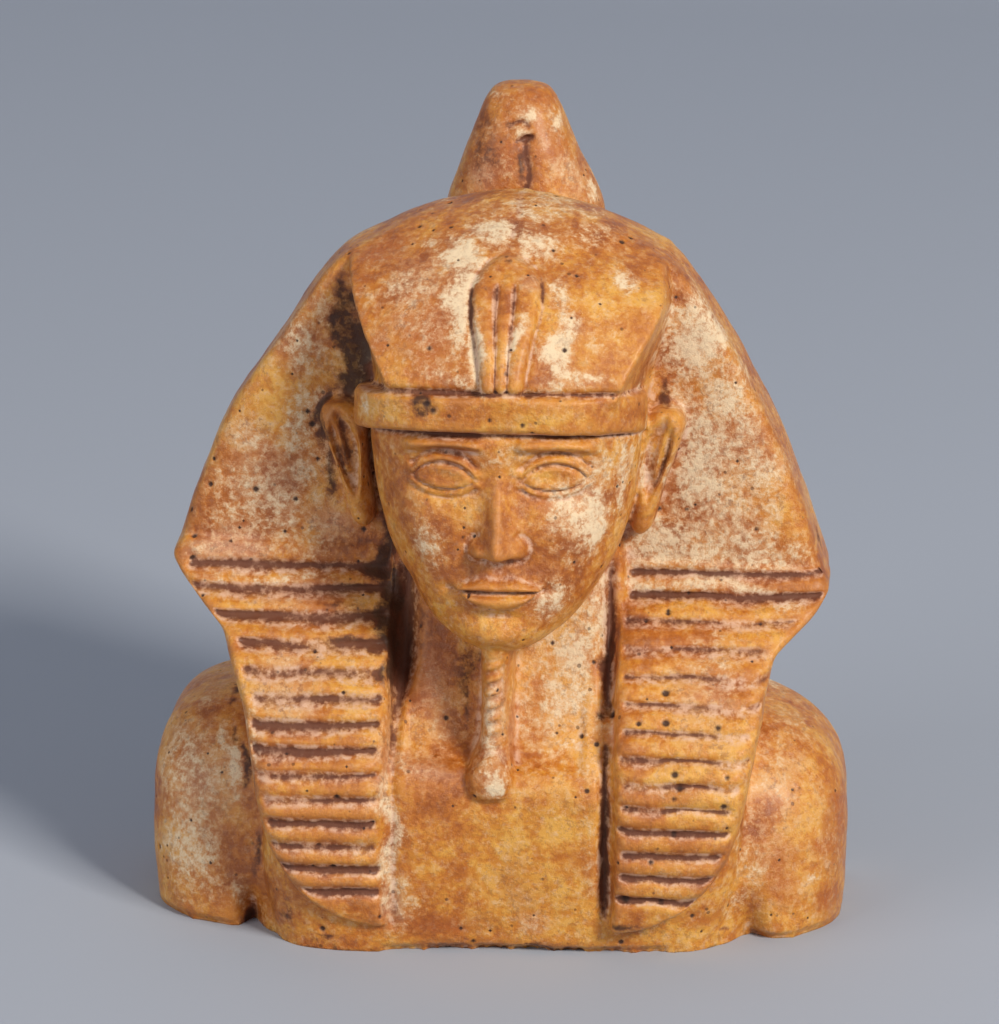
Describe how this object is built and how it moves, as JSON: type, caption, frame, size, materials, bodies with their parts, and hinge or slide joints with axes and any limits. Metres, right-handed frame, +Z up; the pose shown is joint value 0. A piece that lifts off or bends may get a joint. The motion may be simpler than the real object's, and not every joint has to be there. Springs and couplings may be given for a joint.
{
  "type": "stone pharaoh bust",
  "caption": "Small carved stone bust of a king in a nemes headcloth with brow band, cobra, plaited beard, ribbed lappets and arm stumps, a worn falcon behind the crown and a flat underside.",
  "frame": {"origin": "middle of the footprint's box, on the plane of the flat underside", "axes": "+Z up, +X to the right as the face is seen from the front, so the figure looks along -Y"},
  "size_m": [0.097, 0.0624, 0.11],
  "materials": {
    "stone": "waxed satin, mottled honey brown with chalky patches and dark dirt in the cuts"
  },
  "bodies": {
    "root": {"bust": "stone"}
  },
  "joints": []
}
